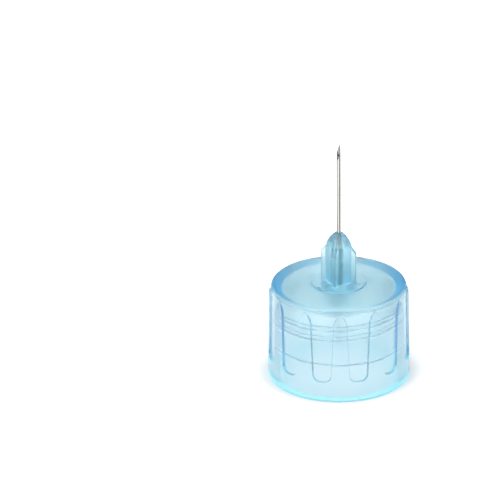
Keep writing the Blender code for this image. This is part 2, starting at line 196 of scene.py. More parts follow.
# Lamps: two soft boxes in front of the needle, the brighter one from the left.
# They give the smooth plastic its sheen and the floor a soft shadow.
SOFT_BOX_WIDTH = 0.25
for name, place, power in (("key", (-0.25, -0.20, 0.35), 0.8), ("fill", (0.30, -0.10, 0.25), 0.45)):
    lamp_data = bpy.data.lights.new(name, 'AREA')
    lamp_data.size = SOFT_BOX_WIDTH
    lamp_data.energy = power
    lamp = bpy.data.objects.new(name, lamp_data)
    lamp.location = place
    lamp.rotation_euler = (target - lamp.location).to_track_quat('-Z', 'Y').to_euler()
    bpy.context.scene.collection.objects.link(lamp)

# Hub: the threaded socket, the fluted grip, the top plate and the post, all in one injection moulding.
# It is clear blue polypropylene, ejected from a steel mould, so its skin here is one closed surface.

# Clear polypropylene gives the eye a wall that shows its thread, a milky top and a blue that deepens with
# thickness. It is polished outside, frosted on the top and in the socket, and smooth where the glue wets it.
OUTSIDE_ROUGHNESS = 0.17
TOP_ROUGHNESS = 0.36
BORE_ROUGHNESS = 0.30
WELL_ROUGHNESS = 0.05
DRY_ROUGHNESS = 0.40
SKIRT_CLARITY = 0.84
TOP_CLARITY = 0.92
TINT_DENSITY = 212.0
hub_plastic = new_material("clear_blue_polypropylene")
tree = hub_plastic.node_tree
place = add_node(tree, "ShaderNodeTexCoord")
place = add_node(tree, "ShaderNodeSeparateXYZ", {0: place.outputs["Object"]})
level = add_node(tree, "ShaderNodeCombineXYZ", {"X": place.outputs["X"], "Y": place.outputs["Y"]})
radius = add_node(tree, "ShaderNodeVectorMath", {0: level.outputs[0]}, operation='LENGTH')
on_top = add_node(tree, "ShaderNodeMapRange", {
    "Value": place.outputs["Z"], "From Min": 8.2 * MM, "From Max": 8.4 * MM, "To Min": 0.0, "To Max": 1.0})
top_frost = add_node(tree, "ShaderNodeMapRange", {
    "Value": on_top.outputs[0], "To Min": OUTSIDE_ROUGHNESS, "To Max": TOP_ROUGHNESS})
bore_frost = add_node(tree, "ShaderNodeMapRange", {
    "Value": radius.outputs["Value"], "From Min": 5.3 * MM, "From Max": 5.6 * MM,
    "To Min": BORE_ROUGHNESS, "To Max": OUTSIDE_ROUGHNESS})
frost = add_node(tree, "ShaderNodeMath", {0: top_frost.outputs[0], 1: bore_frost.outputs[0]},
                 operation='MAXIMUM')
wetted = add_node(tree, "ShaderNodeMapRange", {
    "Value": radius.outputs["Value"], "From Min": 0.28 * MM, "From Max": 0.40 * MM,
    "To Min": WELL_ROUGHNESS, "To Max": DRY_ROUGHNESS})
frost = add_node(tree, "ShaderNodeMath", {0: frost.outputs[0], 1: wetted.outputs[0]}, operation='MINIMUM')
clear = add_node(tree, "ShaderNodeMapRange", {
    "Value": on_top.outputs[0], "To Min": SKIRT_CLARITY, "To Max": TOP_CLARITY})
colours = add_node(tree, "ShaderNodeValToRGB", {"Fac": on_top.outputs[0]})
for stop, colour in zip(colours.color_ramp.elements, ("FBFFFF", "ECFEFF")):
    stop.color = linear(colour)
skin = add_node(tree, "ShaderNodeBsdfPrincipled", {
    "Base Color": colours.outputs[0], "Roughness": frost.outputs[0], "IOR": 1.49,
    "Transmission Weight": clear.outputs[0]})
tint = add_node(tree, "ShaderNodeVolumeAbsorption", {"Color": linear("00E0FF"), "Density": TINT_DENSITY})
add_node(tree, "ShaderNodeOutputMaterial", {"Surface": skin.outputs[0], "Volume": tint.outputs[0]})

# Sizes of the whole hub. Every ring of its skin has as many vertices as there are columns.
COLUMNS = 240
BORE_RADIUS = 4.95 * MM
COUNTERBORE_RADIUS = 5.15 * MM
COUNTERBORE_DEPTH = 3.12 * MM
STEP_HEIGHT = 0.07 * MM
CEILING_FILLET = 0.36 * MM
SKIRT_HEIGHT = 8.50 * MM
PLATE_THICKNESS = 0.60 * MM
NECK_RADIUS = 5.84 * MM
SHOULDER_RADIUS = 6.07 * MM
SHOULDER_DROP = 0.90 * MM
SHOULDER_BULGE = 0.05 * MM
TOP_EDGE_ROUNDING = 0.20 * MM
EDGE_ROUNDING = 0.08 * MM
RIM_ROUNDING = 0.30 * MM
rim_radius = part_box("hub")[1].x
ceiling = SKIRT_HEIGHT - PLATE_THICKNESS
shoulder_height = SKIRT_HEIGHT - SHOULDER_DROP
neck_height = SKIRT_HEIGHT - TOP_EDGE_ROUNDING


def arc(centre, radius, start, end, steps):
    """Points of a circle round centre, from one angle to another in degrees."""
    turns = [math.radians(start + (end - start) * i / steps) for i in range(steps + 1)]
    return [(centre[0] + radius * math.cos(a), centre[1] + radius * math.sin(a)) for a in turns]


def ring(skin, radius, height):
    """A horizontal circle of vertices."""
    turns = [2 * math.pi * i / COLUMNS for i in range(COLUMNS)]
    return [skin.verts.new((radius * math.cos(a), radius * math.sin(a), height)) for a in turns]


def join(skin, upper, lower, shift=0):
    """Faces between two rings that have as many vertices."""
    count = len(upper)
    for i in range(count):
        j = (i + 1) % count
        skin.faces.new((upper[i], lower[(i + shift) % count], lower[(j + shift) % count], upper[j]))


def lathe(skin, profile):
    """Rings down a profile of (radius, height) points, joined up; gives the first and last ring."""
    rings = [ring(skin, radius, height) for radius, height in profile]
    for upper, lower in zip(rings, rings[1:]):
        join(skin, upper, lower)
    return rings[0], rings[-1]


hub_skin = bmesh.new()

# The raised disc's edge, the plate's flat top and its rounded edge, down to where the ribs begin
DISC_RADIUS = 2.40 * MM
DISC_HEIGHT = 0.15 * MM
DISC_EDGE = 0.06 * MM
disc_top = SKIRT_HEIGHT + DISC_HEIGHT
profile = arc((DISC_RADIUS - DISC_EDGE, disc_top - DISC_EDGE), DISC_EDGE, 90, 0, 4)
profile += arc((DISC_RADIUS + DISC_EDGE / 2, SKIRT_HEIGHT + DISC_EDGE / 2), DISC_EDGE / 2, 180, 270, 3)
profile += [(DISC_RADIUS + share * (NECK_RADIUS - TOP_EDGE_ROUNDING - DISC_RADIUS), SKIRT_HEIGHT)
            for share in (0.1, 0.4, 0.7, 0.97)]
profile += arc((NECK_RADIUS - TOP_EDGE_ROUNDING, neck_height), TOP_EDGE_ROUNDING, 90, 0, 8)
disc_edge_ring, _ = lathe(hub_skin, profile)

# The rim, the counterbore and the wall of the socket up to the thread
FLUTE_BOTTOM = 1.85 * MM
RIB_FOOT = 1.40 * MM
STEP_ROUNDING = 0.02 * MM
PLAIN_BORE = 3.80 * MM
THREAD_LOW = 4.20 * MM
DRAFT = (rim_radius - SHOULDER_RADIUS) / (shoulder_height - EDGE_ROUNDING)


def skirt_radius(height):
    """The outside of the skirt, over its ribs."""
    if height <= shoulder_height:
        return SHOULDER_RADIUS + DRAFT * (shoulder_height - height)
    share = (height - shoulder_height) / (neck_height - shoulder_height)
    bulge = 4 * SHOULDER_BULGE * share * (1 - share)
    return SHOULDER_RADIUS + (NECK_RADIUS - SHOULDER_RADIUS) * share + bulge


profile = [(skirt_radius(RIB_FOOT * share), RIB_FOOT * share) for share in (1, 0.7, 0.4, 0.25)]
profile += arc((rim_radius - RIM_ROUNDING, RIM_ROUNDING), RIM_ROUNDING, 0, -90, 8)
rim_flat = rim_radius - COUNTERBORE_RADIUS - RIM_ROUNDING - EDGE_ROUNDING
profile += [(rim_radius - RIM_ROUNDING - share * rim_flat, 0) for share in (0.1, 0.5, 0.9)]
profile += arc((COUNTERBORE_RADIUS + EDGE_ROUNDING, EDGE_ROUNDING), EDGE_ROUNDING, 270, 180, 4)
profile += [(COUNTERBORE_RADIUS, COUNTERBORE_DEPTH * share) for share in (0.1, 0.5, 0.9)]
step_length = COUNTERBORE_RADIUS - BORE_RADIUS
slope = math.degrees(math.atan2(STEP_HEIGHT, step_length))
outer_centre = (COUNTERBORE_RADIUS - STEP_ROUNDING, COUNTERBORE_DEPTH - STEP_ROUNDING)
inner_centre = (BORE_RADIUS + STEP_ROUNDING, COUNTERBORE_DEPTH + STEP_HEIGHT + STEP_ROUNDING)
profile += arc(outer_centre, STEP_ROUNDING, 0, 90 - slope, 3)
profile += arc(inner_centre, STEP_ROUNDING, 270 - slope, 180, 3)
above_step = COUNTERBORE_DEPTH + STEP_HEIGHT + 0.3 * MM
profile += [(BORE_RADIUS, height) for height in (above_step, PLAIN_BORE, THREAD_LOW)]
_, thread_low_ring = lathe(hub_skin, profile)

# The ceiling of the socket and the boss that carries the back of the tube
BOSS_BASE_RADIUS = 1.50 * MM
BOSS_END_RADIUS = 0.66 * MM
BOSS_HEIGHT = 1.80 * MM
WELL_RADIUS = 0.231 * MM
WELL_TOP = 11.85 * MM
NOSE_BORE_RADIUS = 0.160 * MM
boss_end = ceiling - BOSS_HEIGHT
fillet_centre = (BORE_RADIUS - CEILING_FILLET, ceiling - CEILING_FILLET)
profile = arc(fillet_centre, CEILING_FILLET, 0, 90, 8)
profile += [(BOSS_BASE_RADIUS + share * (BORE_RADIUS - CEILING_FILLET - BOSS_BASE_RADIUS), ceiling)
            for share in (0.95, 0.6, 0.3, 0.12)]
profile += [(BOSS_BASE_RADIUS + 0.03 * MM, ceiling - 0.015 * MM)]
profile += [(BOSS_BASE_RADIUS - share * (BOSS_BASE_RADIUS - BOSS_END_RADIUS), ceiling - share * BOSS_HEIGHT)
            for share in (0.06, 0.3, 0.6, 0.9, 0.96)]
profile += [(BOSS_END_RADIUS, boss_end + 0.01 * MM), (BOSS_END_RADIUS - 0.04 * MM, boss_end)]
thread_top_ring, boss_ring = lathe(hub_skin, profile)
mouth = ring(hub_skin, WELL_RADIUS + 0.04 * MM, boss_end)
join(hub_skin, boss_ring, mouth)
above = mouth
for height in (boss_end + 0.04 * MM, 7.0 * MM, 8.0 * MM, 9.0 * MM, 10.0 * MM, 11.0 * MM, WELL_TOP):
    below = ring(hub_skin, WELL_RADIUS, height)
    join(hub_skin, above, below)
    above = below
bore_low = ring(hub_skin, NOSE_BORE_RADIUS, WELL_TOP)
join(hub_skin, above, bore_low)

# The post: round, with four flats that run out in arches on its nose, and four fins
POST_RADIUS = 1.16 * MM
POST_FLAT_DEPTH = 0.22 * MM
POST_FOOT_FILLET = 0.12 * MM
NOSE_HEIGHT = 1.35 * MM
NOSE_TIP_RADIUS = 0.24 * MM
NOSE_BULGE = 0.165 * MM
FIN_COUNT = 4
FIN_RADIUS = 1.54 * MM
FIN_THICKNESS = 0.38 * MM
FIN_TOP_SLOPE = 0.45 * MM
FIN_EDGE = 0.05 * MM
FIN_TURN = math.radians(-107)
FIN_POINTS = 11
HALF_SECTOR_POINTS = COLUMNS // FIN_COUNT // 2
nose_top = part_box("hub")[1].z
nose_base = nose_top - NOSE_HEIGHT


def body_radius(height):
    """The round post and its bulged nose, without flats and fins."""
    if height <= nose_base:
        return POST_RADIUS
    chord = Vector((NOSE_TIP_RADIUS - POST_RADIUS, NOSE_HEIGHT))
    low, high = 0.0, 1.0
    for _ in range(30):
        share = (low + high) / 2
        rise = 4 * NOSE_BULGE * share * (1 - share) * -chord.x / chord.length
        if nose_base + chord.y * share + rise < height:
            low = share
        else:
            high = share
    return POST_RADIUS + chord.x * share + 4 * NOSE_BULGE * share * (1 - share) * chord.y / chord.length


def half_sector(height, swell):
    """Points (outwards, sideways) of the post's section, from mid fin to mid flat."""
    body = body_radius(height) + swell
    flat = POST_RADIUS - POST_FLAT_DEPTH + swell
    roundness = max(height - nose_base, 0) / NOSE_HEIGHT
    half = FIN_THICKNESS / 2 + swell
    root = math.sqrt(max(body ** 2 - half ** 2, (body * 0.5) ** 2))
    slope_start = nose_base - FIN_TOP_SLOPE
    reach = FIN_RADIUS + swell
    if height > slope_start:
        reach = FIN_RADIUS - (FIN_RADIUS - POST_RADIUS) * (height - slope_start) / FIN_TOP_SLOPE
    proud = reach - root
    if proud > 0.02 * MM:
        edge = min(FIN_EDGE + swell, proud / 2)
        points = [(reach, (half - edge) * share) for share in (0, 0.33, 0.67)]
        points += arc((reach - edge, half - edge), edge, 0, 90, 4)
        points += [(reach - edge - share * (proud - edge), half) for share in (0.3, 0.55, 0.8)]
        fan = math.atan2(half, root)
    else:
        fan = math.asin(half / POST_RADIUS)
        points = [(body * math.cos(fan * i / FIN_POINTS), body * math.sin(fan * i / FIN_POINTS))
                  for i in range(FIN_POINTS)]
    count = HALF_SECTOR_POINTS - len(points)
    first = fan * 1.02
    quarter = math.pi / FIN_COUNT
    for i in range(count):
        angle = first + (quarter - first) * i / count
        shrink = min(flat / (POST_RADIUS + swell) / math.cos(quarter - angle), 1)
        radius = body * (shrink + (1 - shrink) * roundness)
        points.append((radius * math.cos(angle), radius * math.sin(angle)))
    return points


def post_ring(skin, height, swell=0.0):
    """The whole section of the post at a height, swollen where its foot flares."""
    half = half_sector(height, swell)
    quarter = math.pi / FIN_COUNT
    shrink = 1 - POST_FLAT_DEPTH / (POST_RADIUS + swell)
    roundness = max(height - nose_base, 0) / NOSE_HEIGHT
    radius = (body_radius(height) + swell) * (shrink + (1 - shrink) * roundness)
    middle = (radius * math.cos(quarter), radius * math.sin(quarter))
    mirrored = [(x * math.cos(2 * quarter) + y * math.sin(2 * quarter),
                 x * math.sin(2 * quarter) - y * math.cos(2 * quarter)) for x, y in reversed(half[1:])]
    sector = half + [middle] + mirrored
    verts = []
    for i in range(FIN_COUNT):
        turn = Matrix.Rotation(FIN_TURN + 2 * math.pi * i / FIN_COUNT, 2)
        verts += [skin.verts.new((*(turn @ Vector(point)), height)) for point in sector]
    return verts


post_rings = []
for angle in (0, 22, 45, 67, 90):
    lift = POST_FOOT_FILLET * (1 - math.sin(math.radians(90 - angle)))
    out = POST_FOOT_FILLET * (1 - math.sin(math.radians(angle)))
    post_rings.append(post_ring(hub_skin, disc_top + lift, out))
heights = [level * MM for level in (9.3, 9.9, 10.5, 11.0, 11.3)]
slope_start = nose_base - FIN_TOP_SLOPE
heights += [slope_start - 0.02 * MM] + [slope_start + FIN_TOP_SLOPE * i / 8 for i in range(9)]
heights += [nose_base + NOSE_HEIGHT * share for share in
            (0.03, 0.08, 0.14, 0.2, 0.27, 0.34, 0.42, 0.5, 0.58, 0.66, 0.74, 0.81, 0.87, 0.92, 0.96, 0.985)]
post_rings += [post_ring(hub_skin, height) for height in heights]
for lower, upper in zip(post_rings, post_rings[1:]):
    join(hub_skin, upper, lower)
tip = ring(hub_skin, NOSE_TIP_RADIUS - 0.01 * MM, nose_top)
lip = ring(hub_skin, NOSE_BORE_RADIUS + 0.015 * MM, nose_top)
bore_top = ring(hub_skin, NOSE_BORE_RADIUS, nose_top - 0.015 * MM)
shift = round(-math.degrees(FIN_TURN) / 360 * COLUMNS) % COLUMNS
join(hub_skin, tip, post_rings[-1], shift)
join(hub_skin, lip, tip)
join(hub_skin, bore_top, lip)
bore_middle = ring(hub_skin, NOSE_BORE_RADIUS, (nose_top + WELL_TOP) / 2)
join(hub_skin, bore_middle, bore_top)
join(hub_skin, bore_low, bore_middle)
post_foot = post_rings[0]


def inside(point, outline):
    """True if a point lies within a closed outline."""
    crossings = 0
    for (x0, y0), (x1, y1) in zip(outline, outline[1:] + outline[:1]):
        if (y0 > point[1]) != (y1 > point[1]) and point[0] < x0 + (point[1] - y0) * (x1 - x0) / (y1 - y0):
            crossings += 1
    return crossings % 2 == 1


def pushed(line, distance):
    """A line of points moved sideways to its left."""
    moved = []
    for i, (x, y) in enumerate(line):
        before = line[max(i - 1, 0)]
        after = line[min(i + 1, len(line) - 1)]
        run = Vector((after[0] - before[0], after[1] - before[1])).normalized()
        moved.append((x - run.y * distance, y + run.x * distance))
    return moved


def apart(point, line):
    """The distance from a point to the nearest point of a line."""
    return min(math.hypot(point[0] - x, point[1] - y) for x, y in line)


# The top of the raised disc, with three low lugs that an inner shield sits on
LUG_COUNT = 3
LUG_RADIUS = 2.30 * MM
LUG_WIDTH = 0.50 * MM
LUG_HEIGHT = 0.09 * MM
LUG_DRAFT = 0.03 * MM
LUG_CORNER = 0.06 * MM
LUG_TURN = math.radians(-18)
FOOT_GAP = 0.02 * MM
lug_starts = [FIN_RADIUS + POST_FOOT_FILLET + FOOT_GAP] + [POST_RADIUS + POST_FOOT_FILLET + FOOT_GAP] * 2


def lug_outline(start, inset, turn):
    """The outline of one lug, drawn in by an inset, with its corners rounded."""
    near, far, side = start + inset, LUG_RADIUS - inset, LUG_WIDTH / 2 - inset
    points = []
    for x, y, first in ((far, side, 0), (near, side, 90), (near, -side, 180), (far, -side, 270)):
        centre = (x - math.copysign(LUG_CORNER, x - (near + far) / 2), y - math.copysign(LUG_CORNER, y))
        points += arc(centre, LUG_CORNER, first, first + 90, 3)
    place = Matrix.Rotation(turn, 2)
    return [tuple(place @ Vector(point)) for point in points]


points = [(v.co.x, v.co.y) for v in disc_edge_ring] + [(v.co.x, v.co.y) for v in post_foot]
edges = [(i, (i + 1) % COLUMNS) for i in range(COLUMNS)]
edges += [(COLUMNS + i, COLUMNS + (i + 1) % COLUMNS) for i in range(COLUMNS)]
lifts = [0.0] * len(points)
for i in range(LUG_COUNT):
    turn = LUG_TURN + 2 * math.pi * i / LUG_COUNT
    for inset, lift in ((0, 0.0), (LUG_DRAFT * 0.5, LUG_HEIGHT * 0.75), (LUG_DRAFT, LUG_HEIGHT)):
        outline = lug_outline(lug_starts[i], inset, turn)
        first = len(points)
        points += outline
        lifts += [lift] * len(outline)
        edges += [(first + k, first + (k + 1) % len(outline)) for k in range(len(outline))]
foot_outline = points[COLUMNS:2 * COLUMNS]
scaled = [Vector((x / MM, y / MM)) for x, y in points]
flat_points, _, flat_faces, sources, _, _ = delaunay_2d_cdt(scaled, edges, [], 0, 1e-6, True)
disc_verts = []
for point, source in zip(flat_points, sources):
    lift = lifts[source[0]] if source else 0.0
    disc_verts.append(hub_skin.verts.new((point.x * MM, point.y * MM, disc_top + lift)))
for face in flat_faces:
    middle = sum((flat_points[i] for i in face), Vector((0, 0))) / len(face) * MM
    if not inside(middle, foot_outline):
        hub_skin.faces.new([disc_verts[i] for i in face])

# One rib with half a flute on each side. A flute's walls are steep, with their edges rounded.
RIB_COUNT = 12
FLUTE_DEPTH = 0.20 * MM
FLUTE_CORNER = 0.65 * MM
RIB_WIDTH_TOP = 1.10 * MM
RIB_WIDTH_BOTTOM = 1.56 * MM
RIB_ARCH_HEIGHT = 1.10 * MM
RIB_TIP_DROP = 0.42 * MM
RIB_TIP_BLUNTING = 0.03 * MM
PANEL_COLUMNS = COLUMNS // RIB_COUNT
FLAT_RADIUS = 6.1 * MM
GRID_CLEARANCE = 0.11 * MM
SIDE_STEPS = 14

# Lines along a flute's wall: millimetres from the rib's edge into the flute, and the share of its depth
WALL_STEPS = ((-0.030, 0.0), (-0.010, 0.07), (0.008, 0.32), (0.030, 0.68), (0.048, 0.93), (0.068, 1.0))
half_panel = math.pi / RIB_COUNT * FLAT_RADIUS
tip_height = SKIRT_HEIGHT - RIB_TIP_DROP


def flute_floor(height):
    """The outside of the skirt, at the bottom of its flutes."""
    return SHOULDER_RADIUS - FLUTE_DEPTH + DRAFT * max(shoulder_height - height, 0)


def unrolled(point):
    """A point of the rib's front view, laid on the flat panel that is rolled up later."""
    return (math.asin(point[0] / skirt_radius(point[1])) * FLAT_RADIUS, point[1])


arch_radius = ((RIB_WIDTH_TOP / 2) ** 2 + RIB_ARCH_HEIGHT ** 2) / RIB_WIDTH_TOP
arch_base = tip_height - RIB_ARCH_HEIGHT
arch_sweep = math.degrees(math.asin(RIB_ARCH_HEIGHT / arch_radius))
corner_centre = (RIB_WIDTH_BOTTOM / 2 + FLUTE_CORNER, FLUTE_BOTTOM + FLUTE_CORNER)
side_low = (RIB_WIDTH_BOTTOM / 2, FLUTE_BOTTOM + FLUTE_CORNER)
side_high = (RIB_WIDTH_TOP / 2, arch_base)
right = arc(corner_centre, FLUTE_CORNER, 270, 180, 12)
lean, rise = side_high[0] - side_low[0], side_high[1] - side_low[1]
shares = [i / SIDE_STEPS for i in range(1, SIDE_STEPS)]
right += [(side_low[0] + lean * share, side_low[1] + rise * share) for share in shares]
right += arc((RIB_WIDTH_TOP / 2 - arch_radius, arch_base), arch_radius, 0, arch_sweep * 0.94, 10)
right = [unrolled(point) for point in right]
edge_x = (right[0][0] + half_panel) / 2
right = [(half_panel, FLUTE_BOTTOM), (edge_x, FLUTE_BOTTOM)] + right
rib_edge = right + [(0.0, tip_height - RIB_TIP_BLUNTING)] + [(-x, z) for x, z in reversed(right)]
points, edges, sinks = [], [], []
for distance, sink in WALL_STEPS:
    line = pushed(rib_edge, -distance * MM)
    line[0] = (half_panel, FLUTE_BOTTOM + distance * MM)
    line[-1] = (-half_panel, FLUTE_BOTTOM + distance * MM)
    first = len(points)
    points += line
    sinks += [sink] * len(line)
    edges += [(first + k, first + k + 1) for k in range(len(line) - 1)]
rows = [RIB_FOOT, 1.65 * MM, 2.2 * MM] + [(2.7 + 0.5 * i) * MM for i in range(10)]
rows += [shoulder_height + (neck_height - shoulder_height) * i / 12 for i in range(13)]
closed_rib = rib_edge + [(-half_panel, 0.0), (half_panel, 0.0)]
dense_edge = []
for a, b in zip(rib_edge, rib_edge[1:]):
    dense_edge += [(a[0] + (b[0] - a[0]) * k / 6, a[1] + (b[1] - a[1]) * k / 6) for k in range(6)]
for height in rows:
    for column in range(PANEL_COLUMNS + 1):
        x = half_panel * (2 * column / PANEL_COLUMNS - 1)
        border = height in (rows[0], rows[-1]) or column in (0, PANEL_COLUMNS)
        if border or apart((x, height), dense_edge) > GRID_CLEARANCE:
            points.append((x, height))
            sinks.append(0.0 if inside((x * 0.999, height), closed_rib) else 1.0)
flat_points, _, flat_faces, sources, _, _ = delaunay_2d_cdt(
    [Vector((x / MM, z / MM)) for x, z in points], edges, [], 0, 1e-6, True)
panel = bmesh.new()
panel_verts = []
for point, source in zip(flat_points, sources):
    height = point.y * MM
    radius = skirt_radius(height)
    radius -= max(radius - flute_floor(height), 0) * (sinks[source[0]] if source else 0.0)
    turn = point.x * MM / FLAT_RADIUS - math.pi / 2
    panel_verts.append(panel.verts.new((radius * math.cos(turn), radius * math.sin(turn), height)))
for face in flat_faces:
    panel.faces.new([panel_verts[i] for i in face])
panel_mesh = bpy.data.meshes.new("rib_panel")
panel.to_mesh(panel_mesh)
panel.free()


def add_input(tree, name, kind, value=None):
    """A named input of a node group, with its default value."""
    socket = tree.interface.new_socket(name, in_out='INPUT', socket_type=kind)
    if value is not None:
        socket.default_value = value
    return socket


def grown(name, mesh, tree):
    """The plain mesh that a Geometry Nodes tree makes from a mesh."""
    piece = bpy.data.objects.new(name, mesh)
    bpy.context.scene.collection.objects.link(piece)
    piece.modifiers.new(name, 'NODES').node_group = tree
    bpy.context.view_layer.update()
    made = bpy.data.meshes.new_from_object(piece.evaluated_get(bpy.context.evaluated_depsgraph_get()))
    bpy.data.objects.remove(piece)
    return made


# The grip: the rib panel is repeated round the axis
grip_tree = bpy.data.node_groups.new("ribbed_grip", 'GeometryNodeTree')
add_input(grip_tree, "Rib panel", 'NodeSocketGeometry')
add_input(grip_tree, "Ribs", 'NodeSocketInt', RIB_COUNT)
add_input(grip_tree, "Plastic", 'NodeSocketMaterial', hub_plastic)
grip_tree.interface.new_socket("Grip", in_out='OUTPUT', socket_type='NodeSocketGeometry')
given = add_node(grip_tree, "NodeGroupInput")
line = add_node(grip_tree, "GeometryNodeMeshLine", {"Count": given.outputs["Ribs"], "Offset": (0, 0, 0)})
number = add_node(grip_tree, "GeometryNodeInputIndex")
pitch = add_node(grip_tree, "ShaderNodeMath", {0: 2 * math.pi, 1: given.outputs["Ribs"]}, operation='DIVIDE')
turn = add_node(grip_tree, "ShaderNodeMath", {0: number.outputs[0], 1: pitch.outputs[0]},
                operation='MULTIPLY')
axis = add_node(grip_tree, "ShaderNodeCombineXYZ", {"Z": turn.outputs[0]})
copies = add_node(grip_tree, "GeometryNodeInstanceOnPoints", {
    "Points": line.outputs[0], "Instance": given.outputs["Rib panel"], "Rotation": axis.outputs[0]})
real = add_node(grip_tree, "GeometryNodeRealizeInstances", {"Geometry": copies.outputs[0]})
coloured = add_node(grip_tree, "GeometryNodeSetMaterial", {
    "Geometry": real.outputs[0], "Material": given.outputs["Plastic"]})
add_node(grip_tree, "NodeGroupOutput", {"Grip": coloured.outputs[0]})
grip_mesh = grown("ribbed_grip", panel_mesh, grip_tree)

# The thread: a sheet is wound up the socket's wall, with the ridge raised along its middle
THREAD_PITCH = 0.90 * MM
THREAD_DEPTH = 0.30 * MM
THREAD_TURNS = 2.125
THREAD_START = 4.92 * MM
THREAD_BELOW = 0.60 * MM
RIDGE_ROOT = 0.55 * MM
RIDGE_CREST = 0.20 * MM
RIDGE_ROUND = 0.022 * MM
RUN_OUT = 0.10
low_edge = (THREAD_BELOW - RIDGE_ROOT / 2) / THREAD_PITCH
high_edge = (THREAD_BELOW + RIDGE_ROOT / 2) / THREAD_PITCH
low_crest = (THREAD_BELOW - RIDGE_CREST / 2) / THREAD_PITCH
soft = RIDGE_ROUND / THREAD_PITCH
flank = ((low_edge - soft, 0), (low_edge, 0.03), (low_edge + soft, 0.126), ((low_edge + low_crest) / 2, 0.5),
         (low_crest - soft, 0.874), (low_crest, 0.97), (low_crest + soft, 1))
middle = low_edge + high_edge
far_flank = tuple((middle - x, y) for x, y in reversed(flank))
ridge_shape = ((0, 0), (low_edge / 2, 0)) + flank + far_flank + ((1, 0),)
thread_tree = bpy.data.node_groups.new("socket_thread", 'GeometryNodeTree')
add_input(thread_tree, "Geometry", 'NodeSocketGeometry')
for name, value in (("Bore radius", BORE_RADIUS), ("Depth", THREAD_DEPTH), ("Pitch", THREAD_PITCH),
                    ("Turns", THREAD_TURNS), ("Low edge", THREAD_START - THREAD_BELOW),
                    ("Run-out", RUN_OUT)):
    add_input(thread_tree, name, 'NodeSocketFloat', value)
add_input(thread_tree, "Plastic", 'NodeSocketMaterial', hub_plastic)
thread_tree.interface.new_socket("Thread", in_out='OUTPUT', socket_type='NodeSocketGeometry')


def formula(operation, *values):
    """A Math node in the thread's tree, as its result."""
    return add_node(thread_tree, "ShaderNodeMath", dict(enumerate(values)), operation=operation).outputs[0]


thread_columns = round(COLUMNS * THREAD_TURNS)
given = add_node(thread_tree, "NodeGroupInput").outputs
sheet = add_node(thread_tree, "GeometryNodeMeshGrid", {
    "Size X": 1, "Size Y": 1, "Vertices X": thread_columns + 1, "Vertices Y": len(ridge_shape)})
place = add_node(thread_tree, "GeometryNodeInputPosition")
place = add_node(thread_tree, "ShaderNodeSeparateXYZ", {0: place.outputs[0]})
along = formula('MULTIPLY', formula('ADD', place.outputs["X"], 0.5), given["Turns"])
across = formula('ADD', place.outputs["Y"], 0.5)


def shape_curve(heights):
    """A curve in the thread's tree that gives one value for each row of the sheet."""
    node = add_node(thread_tree, "ShaderNodeFloatCurve", {"Value": across})
    curve = node.mapping.curves[0]
    last = len(heights) - 1
    curve.points[0].location = (0, heights[0])
    curve.points[1].location = (1, heights[-1])
    for i in range(1, last):
        curve.points.new(i / last, heights[i])
    for point in curve.points:
        point.handle_type = 'VECTOR'
    node.mapping.update()
    return node.outputs[0]


climb = shape_curve([position for position, _ in ridge_shape])
ridge = shape_curve([height for _, height in ridge_shape])
left = formula('SUBTRACT', given["Turns"], along)
fade = formula('MINIMUM', formula('DIVIDE', formula('MINIMUM', along, left), given["Run-out"]), 1.0)
inward = formula('MULTIPLY', formula('MULTIPLY', ridge, fade), given["Depth"])
radius = formula('SUBTRACT', given["Bore radius"], inward)
turn = formula('MULTIPLY', along, 2 * math.pi)
height = formula('MULTIPLY', formula('ADD', along, climb), given["Pitch"])
height = formula('ADD', height, given["Low edge"])
x = formula('MULTIPLY', radius, formula('COSINE', turn))
y = formula('MULTIPLY', radius, formula('SINE', turn))
wound = add_node(thread_tree, "ShaderNodeCombineXYZ", {"X": x, "Y": y, "Z": height})
wound = add_node(thread_tree, "GeometryNodeSetPosition", {
    "Geometry": sheet.outputs[0], "Position": wound.outputs[0]})
real = add_node(thread_tree, "GeometryNodeRealizeInstances", {"Geometry": wound.outputs[0]})
coloured = add_node(thread_tree, "GeometryNodeSetMaterial", {
    "Geometry": real.outputs[0], "Material": given["Plastic"]})
add_node(thread_tree, "NodeGroupOutput", {"Thread": coloured.outputs[0]})
thread_mesh = grown("socket_thread", bpy.data.meshes.new("thread_sheet"), thread_tree)

# The sheet's edges are joined to the wall below and above, then the whole skin is welded shut
WELD = 1.5e-6
SHARP_ANGLE = math.radians(35)
for made in (grip_mesh, thread_mesh):
    hub_skin.from_mesh(made)


def wound_vertex(turns, rise):
    """A new vertex on an unraised part of the wound sheet."""
    angle = 2 * math.pi * turns
    height = THREAD_START - THREAD_BELOW + (turns + rise) * THREAD_PITCH
    return hub_skin.verts.new((BORE_RADIUS * math.cos(angle), BORE_RADIUS * math.sin(angle), height))


for i in range(COLUMNS):
    column = thread_columns - COLUMNS + i
    low = [thread_low_ring[i], thread_low_ring[(i + 1) % COLUMNS]]
    high = [thread_top_ring[(column + 1) % COLUMNS], thread_top_ring[column % COLUMNS]]
    if i == COLUMNS - 1:
        low += [wound_vertex(0, position) for position, _ in ridge_shape]
    else:
        low.append(wound_vertex((i + 1) / COLUMNS, 0))
    if i == 0:
        high += [wound_vertex(THREAD_TURNS, position) for position, _ in reversed(ridge_shape)]
    else:
        high.append(wound_vertex(column / COLUMNS, 1))
    hub_skin.faces.new(low + [wound_vertex(i / COLUMNS, 0)])
    hub_skin.faces.new(high + [wound_vertex((column + 1) / COLUMNS, 1)])
bmesh.ops.remove_doubles(hub_skin, verts=hub_skin.verts, dist=WELD)
bmesh.ops.recalc_face_normals(hub_skin, faces=hub_skin.faces)
hub_mesh = bpy.data.meshes.new("moulded_hub")
hub_skin.to_mesh(hub_mesh)
hub_skin.free()
hub_mesh.materials.clear()
